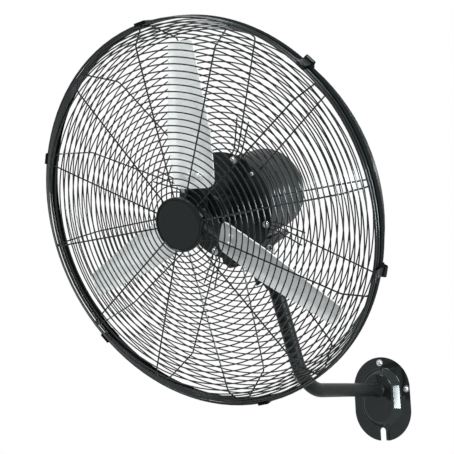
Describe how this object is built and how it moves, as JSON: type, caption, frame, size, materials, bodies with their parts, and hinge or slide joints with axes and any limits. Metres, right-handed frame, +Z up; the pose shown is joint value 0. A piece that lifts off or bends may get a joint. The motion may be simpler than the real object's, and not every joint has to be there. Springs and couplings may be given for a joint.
{
  "type": "wall mounted fan",
  "caption": "industrial wall fan with a round wire cage, metal blades, a drum motor and a tilting head on a bent tube arm with a pressed wall plate",
  "frame": {"origin": "on the wall, midway between the two side wall holes, where the axis of the arm meets the wall", "axes": "+Z up, +Y into the wall, +X to the right as seen from the room; the fan looks out along -Y and is tilted down"},
  "size_m": [0.8064, 0.9682, 0.8637],
  "materials": {
    "black_steel": "gloss black powder coat",
    "guard_black": "gloss black coated wire",
    "motor_grey": "satin dark grey paint on a casting",
    "blade_silver": "satin sheet",
    "bright_steel": "bright plated",
    "core_steel": "laminated",
    "copper": "enamelled wire",
    "dark_plastic": "matt",
    "cap_plastic": "satin charcoal"
  },
  "bodies": {
    "wall_arm": {"wall_plate": "black_steel", "arm_tube": "black_steel", "yoke_cheeks": "black_steel", "pivot_barrel": "black_steel"},
    "head": {"mount_plate": "black_steel", "cradle": "black_steel", "pivot_screw": "bright_steel", "motor_front_bell": "motor_grey", "motor_rear_bell": "motor_grey", "stator_core": "core_steel", "windings": "copper", "bearings": "bright_steel", "capacitor": "dark_plastic", "cable_gland": "dark_plastic", "front_guard_face": "guard_black", "front_guard_skirt": "guard_black", "front_guard_spokes": "guard_black", "front_cap": "cap_plastic", "cap_seat": "black_steel", "rear_guard_face": "guard_black", "rear_guard_skirt": "guard_black", "rear_guard_spokes": "guard_black", "rear_guard_stays": "guard_black", "guard_clamps": "black_steel", "rim_band": "guard_black", "rim_clips": "black_steel", "latch_bases": "black_steel"},
    "rotor": {"shaft": "bright_steel", "rotor_core": "core_steel", "hub": "black_steel", "blade_1": "blade_silver", "blade_2": "blade_silver", "blade_3": "blade_silver", "shaft_nut": "bright_steel"},
    "knob": {"tilt_knob": "dark_plastic"},
    "latch_1": {"latch_lever_1": "black_steel"},
    "latch_2": {"latch_lever_2": "black_steel"}
  },
  "joints": [
    {"name": "head_tilt", "type": "hinge", "parent": "wall_arm", "child": "head", "pos_m": [0, -0.58049, 0.30165], "axis": [1, 0, 0], "range_deg": [-32.4, 20]},
    {"name": "rotor_spin", "type": "hinge", "parent": "head", "child": "rotor", "pos_m": [0, -0.78747, 0.34722], "axis": [0, 0.9245, 0.3811], "continuous": true},
    {"name": "knob_turn", "type": "hinge", "parent": "head", "child": "knob", "pos_m": [-0.055, -0.58049, 0.30165], "axis": [1, 0, 0], "range_deg": [0, 540]},
    {"name": "latch_1_open", "type": "hinge", "parent": "head", "child": "latch_1", "pos_m": [0.33331, -0.8682, 0.57588], "axis": [-0.5878, -0.3083, 0.748], "range_deg": [0, 110]},
    {"name": "latch_2_open", "type": "hinge", "parent": "head", "child": "latch_2", "pos_m": [0.37925, -0.71457, 0.20315], "axis": [0.3907, -0.3508, 0.851], "range_deg": [0, 110]}
  ]
}
